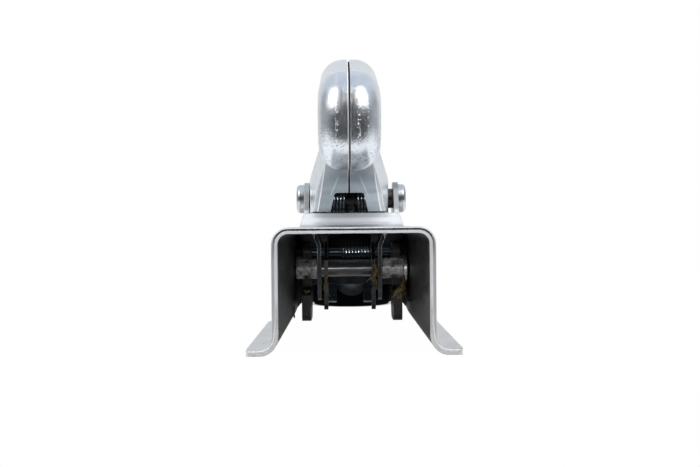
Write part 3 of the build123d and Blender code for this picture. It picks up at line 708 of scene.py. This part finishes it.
def rough_spacer(node, material):
    """Tube on the cross shaft with a torn, ribbed skin instead of the plain CAD tube."""
    low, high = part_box(node)
    left = low.x / mm
    right = high.x / mm
    around = 96
    along = 60
    angles = [2 * math.pi * turn / around for turn in range(around)]
    points = []
    for step in range(along + 1):
        x = left + (right - left) * step / along
        chamfer = SPACER_CHAMFER * max(0.0, 1 - min(step, along - step) / 2)
        for angle in angles:
            dirt = noise.fractal(Vector((x * 1.1, math.cos(angle) * 5.0, math.sin(angle) * 5.0)), 0.6, 2.1, 4)
            rib = math.sin(x * 4.6 + noise.noise(Vector((x, angle, 3.0))) * 2.0) * max(0.0, math.sin(angle))
            radius = SPACER_OUTER - SPACER_SUNK + SPACER_RELIEF * dirt + SPACER_RELIEF * rib - chamfer
            points.append((x, SHAFT_Y + radius * math.cos(angle), SHAFT_Z + radius * math.sin(angle)))
    for x in (right, left):
        points += [(x, SHAFT_Y + SPACER_BORE * math.cos(angle), SHAFT_Z + SPACER_BORE * math.sin(angle))
                   for angle in angles]
    faces = []
    rings = along + 3
    for step in range(rings):
        here = step * around
        following = (step + 1) % rings * around
        for turn in range(around):
            beside = (turn + 1) % around
            faces.append((here + turn, here + beside, following + beside, following + turn))
    piece = mesh_object(node + "_skin", points, faces, material)
    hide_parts(node)
    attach(piece, "handle")
    return piece


def catch_horn(name, side, material):
    """Widened head of a catch plate, just under the roof."""
    points = [(HANDLE_X + side * x, y, z) for y in HORN_Y for x, z in HORN_OUTLINE]
    count = len(HORN_OUTLINE)
    faces = [tuple(range(count)), tuple(range(2 * count - 1, count - 1, -1))]
    faces += [(turn, turn + count, (turn + 1) % count + count, (turn + 1) % count) for turn in range(count)]
    if side < 0:
        faces = [tuple(reversed(face)) for face in faces]
    piece = mesh_object(name, points, faces, material, False)
    edge = piece.modifiers.new("edge", "BEVEL")
    edge.width = HORN_EDGE * mm
    edge.segments = 3
    edge.limit_method = "ANGLE"
    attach(piece, "catch")
    return piece


def grease(name, body, drops, material):
    """Flattened drops fused into one skin."""
    points = []
    faces = []
    rings = 8
    around = 14
    for x, y, z, rx, ry, rz in drops:
        first = len(points)
        for ring in range(1, rings):
            lift = math.pi * ring / rings
            for turn in range(around):
                angle = 2 * math.pi * turn / around
                points.append((x + rx * math.sin(lift) * math.cos(angle), y + ry * math.sin(lift) * math.sin(angle),
                               z + rz * math.cos(lift)))
        top = len(points)
        last = first + (rings - 2) * around
        points += [(x, y, z + rz), (x, y, z - rz)]
        for turn in range(around):
            beside = (turn + 1) % around
            for here in range(first, last, around):
                faces.append((here + turn, here + around + turn, here + around + beside, here + beside))
            faces.append((top, first + turn, first + beside))
            faces.append((top + 1, last + beside, last + turn))
    piece = mesh_object(name, points, faces, material)
    remesh = piece.modifiers.new("fuse", "REMESH")
    remesh.mode = "VOXEL"
    remesh.voxel_size = GREASE_VOXEL * mm
    remesh.use_smooth_shade = True
    soften = piece.modifiers.new("soften", "SMOOTH")
    soften.factor = 0.6
    soften.iterations = 3
    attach(piece, body)
    return piece


def camera():
    direction = Vector((math.sin(CAMERA_YAW) * math.cos(CAMERA_PITCH),
                        math.cos(CAMERA_YAW) * math.cos(CAMERA_PITCH), math.sin(CAMERA_PITCH)))
    level = Vector((math.cos(CAMERA_YAW), -math.sin(CAMERA_YAW), 0))
    upright = level.cross(direction)
    right = level * math.cos(CAMERA_ROLL) + upright * math.sin(CAMERA_ROLL)
    up = upright * math.cos(CAMERA_ROLL) - level * math.sin(CAMERA_ROLL)
    data = bpy.data.cameras.new("camera")
    data.lens = CAMERA_LENS
    data.sensor_width = CAMERA_SENSOR
    data.clip_start = CAMERA_NEAR
    view = bpy.data.objects.new("camera", data)
    view.matrix_world = Matrix((right, up, -direction)).transposed().to_4x4()
    view.location = CAMERA_PLACE
    bpy.context.scene.collection.objects.link(view)
    bpy.context.scene.camera = view


def world():
    """White for the camera; for reflections a bright studio with a dark room behind the camera."""
    studio = bpy.data.worlds.new("studio")
    bpy.context.scene.world = studio
    studio.use_nodes = True
    graph = Graph(studio.node_tree)
    x, y, z = graph.split(graph.add("ShaderNodeTexCoord", out="Generated"))
    behind = graph.math("DIVIDE", graph.times(y, -1.0), graph.most(graph.length(x, y), 0.001))
    colour = graph.colour(graph.ramp(behind, *STUDIO_FRONT), rgb(0.80, 0.82, 0.84), rgb(0.34, 0.365, 0.39))
    colour = graph.colour(graph.band(behind, *STUDIO_FLAG, 0.95), colour, rgb(0.06, 0.065, 0.07))
    colour = graph.colour(graph.ramp(z, *STUDIO_SKY_Z), colour, rgb(0.70, 0.76, 0.85))
    gap = graph.times(graph.ramp(behind, *LAMP_GAP), graph.ramp(z, *LAMP_GAP_FOOT_Z),
                      graph.fade(z, *LAMP_GAP_TOP_Z, 0.9))
    colour = graph.colour(gap, colour, rgb(0.22, 0.23, 0.25))
    room = graph.times(graph.ramp(behind, *ROOM), graph.ramp(z, *ROOM_FOOT_Z), graph.fade(z, *ROOM_TOP_Z, 0.97))
    colour = graph.colour(room, colour, rgb(0.03, 0.03, 0.032))
    seen = graph.add("ShaderNodeLightPath").node.outputs["Is Camera Ray"]
    white = graph.add("ShaderNodeBackground", {"Color": WHITE, "Strength": 1.0})
    light = graph.add("ShaderNodeBackground", {"Color": colour, "Strength": 1.0})
    graph.add("ShaderNodeOutputWorld", {"Surface": graph.add("ShaderNodeMixShader", {0: seen, 1: light, 2: white})})


def floor():
    """White paper that shows the camera only the object's soft shadow."""
    material, graph = new_material("floor_finish")
    x, y = graph.split(graph.place())[:2]
    away = graph.length(graph.less(x, FLOOR_CENTRE[0]), graph.less(y, FLOOR_CENTRE[1]))
    paper = graph.add("ShaderNodeBsdfDiffuse", {"Color": rgb(0.9, 0.9, 0.9)})
    white = graph.add("ShaderNodeEmission", {"Color": WHITE, "Strength": 1.0})
    path = graph.add("ShaderNodeLightPath").node.outputs
    seen = graph.add("ShaderNodeMixShader", {0: graph.fade(away, *SHADOW_REACH, SHADOW_SHARE), 1: white, 2: paper})
    glossy = graph.times(path["Is Glossy Ray"], 0.35)
    mirrored = graph.add("ShaderNodeMixShader", {0: glossy, 1: paper, 2: white})
    graph.surface("ShaderNodeMixShader", {0: path["Is Camera Ray"], 1: mirrored, 2: seen})
    centre_x, centre_y = FLOOR_CENTRE
    half_x, half_y = FLOOR_HALF
    corners = [(centre_x + across * half_x, centre_y + along * half_y, FLOOR_Z - FLOOR_GAP)
               for across, along in ((-1, -1), (1, -1), (1, 1), (-1, 1))]
    mesh_object("floor", corners, [(0, 1, 2, 3)], material, False)


def lamp(name, place, target, size, power, shape="ELLIPSE"):
    data = bpy.data.lights.new(name, "AREA")
    data.shape = shape
    data.size, data.size_y = size
    data.energy = power
    light = bpy.data.objects.new(name, data)
    light.location = place
    light.rotation_euler = (Vector(target) - Vector(place)).to_track_quat("-Z", "Y").to_euler()
    bpy.context.scene.collection.objects.link(light)
    return light


def low_lamp(name, size, power, pieces):
    """Lamp low behind the camera that lights only these pieces, as a window behind the photographer would."""
    light = lamp(name, WINDOW_PLACE, WINDOW_TARGET, size, power, "RECTANGLE")
    lit = bpy.data.collections.new("lit_by_" + name)
    for piece in pieces:
        lit.objects.link(piece)
    light.light_linking.receiver_collection = lit
    return light


def lamps(inner_pieces):
    for name, settings in SOFTBOXES.items():
        lamp(name, *settings)
    low_lamp("window_works", (0.30, 0.10), 2.6, inner_pieces)
    low_lamp("window_springs", (2.4, 0.40), 50.0, [nodes[name] for name in SPRINGS])
    low_lamp("window_handle", (0.30, 0.10), 18.0, [nodes["handle"]]).visible_glossy = False
    lamp("top_fill", *TOP_FILL).visible_glossy = False


def added_pieces(finishes):
    """Spacer skins, grease and catch horns."""
    coats = {
        "grease": grease_material(),
        "shaving": zinc("shaving_finish", rgb(0.95, 0.95, 0.96), rgb(0.7, 0.7, 0.72), 0.15, 0.25),
    }
    horn_finish = dark_and_shaded_steel("horn_finish", rgb(0.075, 0.073, 0.07), rgb(0.045, 0.043, 0.04), 0.45, 0.15, specular=0.2)
    pieces = [rough_spacer(name, finishes["sheet_steel"]) for name in ("spacer_left", "spacer_right")]
    pieces += [grease(name, body, drops, coats[coat]) for name, body, coat, drops in SMEARS]
    pieces += [catch_horn("catch_horn_" + hand, side, horn_finish) for hand, side in (("left", -1), ("right", 1))]
    return pieces


bpy.context.scene.view_settings.view_transform = "Standard"
camera()
world()
floor()
lamps(added_pieces(dress_nodes()) + [nodes[name] for name in WORKS])
